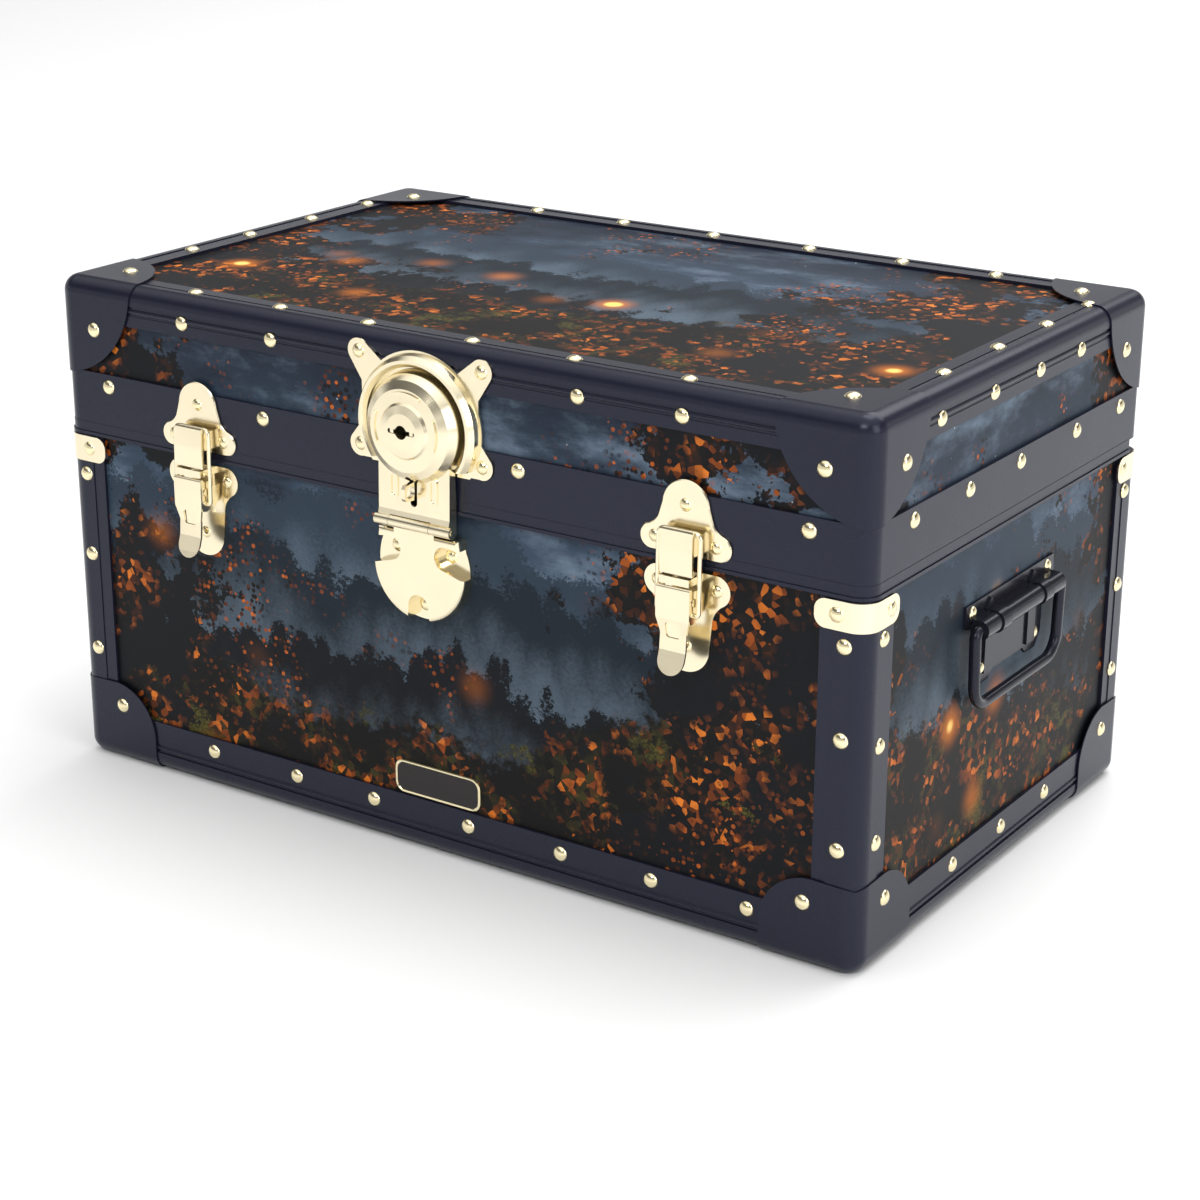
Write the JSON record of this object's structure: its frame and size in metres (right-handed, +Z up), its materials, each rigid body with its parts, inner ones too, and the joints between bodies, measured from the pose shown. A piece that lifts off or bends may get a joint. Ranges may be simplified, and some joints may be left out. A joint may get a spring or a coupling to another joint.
{
  "type": "tuck box",
  "caption": "Free-standing lidded trunk with rounded edging, corner caps, toggle latches, a hasp lock, back hinges, a slotted lid stay and drop handles at its ends.",
  "frame": {"origin": "centre of the whole outline on the plane that the four base caps stand on", "axes": "+X along the length towards the right-hand end, +Y towards the back hinges, +Z up; the lock faces -Y"},
  "size_m": [0.5274, 0.3332, 0.282],
  "materials": {
    "covering": "satin printed paper covering over plywood",
    "edging": "satin blue-black vulcanised fibre",
    "cap": "satin blue-black enamel",
    "handle": "gloss black enamel",
    "hinge": "satin black enamel",
    "steel": "brushed",
    "brass": "polished pale brass plate"
  },
  "bodies": {
    "case": {"case_bottom": "covering", "case_front": "covering", "case_back": "covering", "case_left": "covering", "case_right": "covering", "base_edging_front": "edging", "base_edging_back": "edging", "base_edging_left": "edging", "base_edging_right": "edging", "base_cap_front_right": "cap", "base_cap_front_left": "cap", "base_cap_back_right": "cap", "base_cap_back_left": "cap", "post_front_right": "edging", "post_front_left": "edging", "post_back_right": "edging", "post_back_left": "edging", "corner_clamps": "brass", "hinge_leaves_case": "hinge", "hinge_pins": "hinge", "stay_pin_case": "steel", "latch_plate_left": "brass", "latch_plate_right": "brass", "latch_bracket_left": "brass", "latch_bracket_right": "brass", "latch_pin_left": "brass", "latch_pin_right": "brass", "hasp_pin": "brass", "lock_pan": "brass", "handle_plate_right": "handle", "handle_plate_left": "handle"},
    "lid": {"lid_top": "covering", "lid_front": "covering", "lid_back": "covering", "lid_left": "covering", "lid_right": "covering", "lid_edging_front": "edging", "lid_edging_back": "edging", "lid_edging_left": "edging", "lid_edging_right": "edging", "lid_cap_front_right": "cap", "lid_cap_front_left": "cap", "lid_cap_back_right": "cap", "lid_cap_back_left": "cap", "lid_band": "edging", "hinge_leaves_lid": "hinge", "stay_pin_lid": "steel", "latch_strike_left": "brass", "latch_strike_right": "brass", "lock_plate": "brass", "lock_staple": "brass"},
    "stay": {"lid_stay": "steel"},
    "lever_left": {"latch_lever_left": "brass"},
    "lever_right": {"latch_lever_right": "brass"},
    "link_left": {"latch_link_left": "brass"},
    "link_right": {"latch_link_right": "brass"},
    "hasp": {"hasp": "brass"},
    "lock_cam": {"lock_cam": "brass"},
    "bail_left": {"handle_bail_left": "handle"},
    "bail_right": {"handle_bail_right": "handle"}
  },
  "joints": [
    {"name": "lid_hinge", "type": "hinge", "parent": "case", "child": "lid", "pos_m": [0, 0.1637, 0.2], "axis": [-1, 0, 0], "range_deg": [0, 95]},
    {"name": "stay_pivot", "type": "hinge", "parent": "lid", "child": "stay", "pos_m": [-0.243, 0.07507, 0.21563], "axis": [-1, 0, 0], "range_deg": [-47.5, 0]},
    {"name": "lever_left", "type": "hinge", "parent": "case", "child": "lever_left", "pos_m": [-0.154, -0.1575, 0.1785], "axis": [-1, 0, 0], "range_deg": [0, 90]},
    {"name": "link_left", "type": "hinge", "parent": "lever_left", "child": "link_left", "pos_m": [-0.154, -0.1567, 0.17155], "axis": [-1, 0, 0], "range_deg": [-76.5, 0]},
    {"name": "lever_right", "type": "hinge", "parent": "case", "child": "lever_right", "pos_m": [0.154, -0.1575, 0.1785], "axis": [-1, 0, 0], "range_deg": [0, 90]},
    {"name": "link_right", "type": "hinge", "parent": "lever_right", "child": "link_right", "pos_m": [0.154, -0.1567, 0.17155], "axis": [-1, 0, 0], "range_deg": [-76.5, 0]},
    {"name": "hasp_hinge", "type": "hinge", "parent": "case", "child": "hasp", "pos_m": [-0.004, -0.157, 0.186], "axis": [1, 0, 0], "range_deg": [0, 165]},
    {"name": "cam_turn", "type": "hinge", "parent": "hasp", "child": "lock_cam", "pos_m": [-0.004, -0.1525, 0.237], "axis": [0, -1, 0], "range_deg": [0, 90]},
    {"name": "bail_right", "type": "hinge", "parent": "case", "child": "bail_right", "pos_m": [0.2576, 0.0055, 0.148], "axis": [0, -1, 0], "range_deg": [0, 150]},
    {"name": "bail_left", "type": "hinge", "parent": "case", "child": "bail_left", "pos_m": [-0.2576, 0.0055, 0.148], "axis": [0, 1, 0], "range_deg": [0, 150]}
  ],
  "couplings": [
    {"joint": "stay_pivot", "follows": "lid_hinge", "ratio": -0.5},
    {"joint": "link_left", "follows": "lever_left", "ratio": -0.85},
    {"joint": "link_right", "follows": "lever_right", "ratio": -0.85}
  ]
}
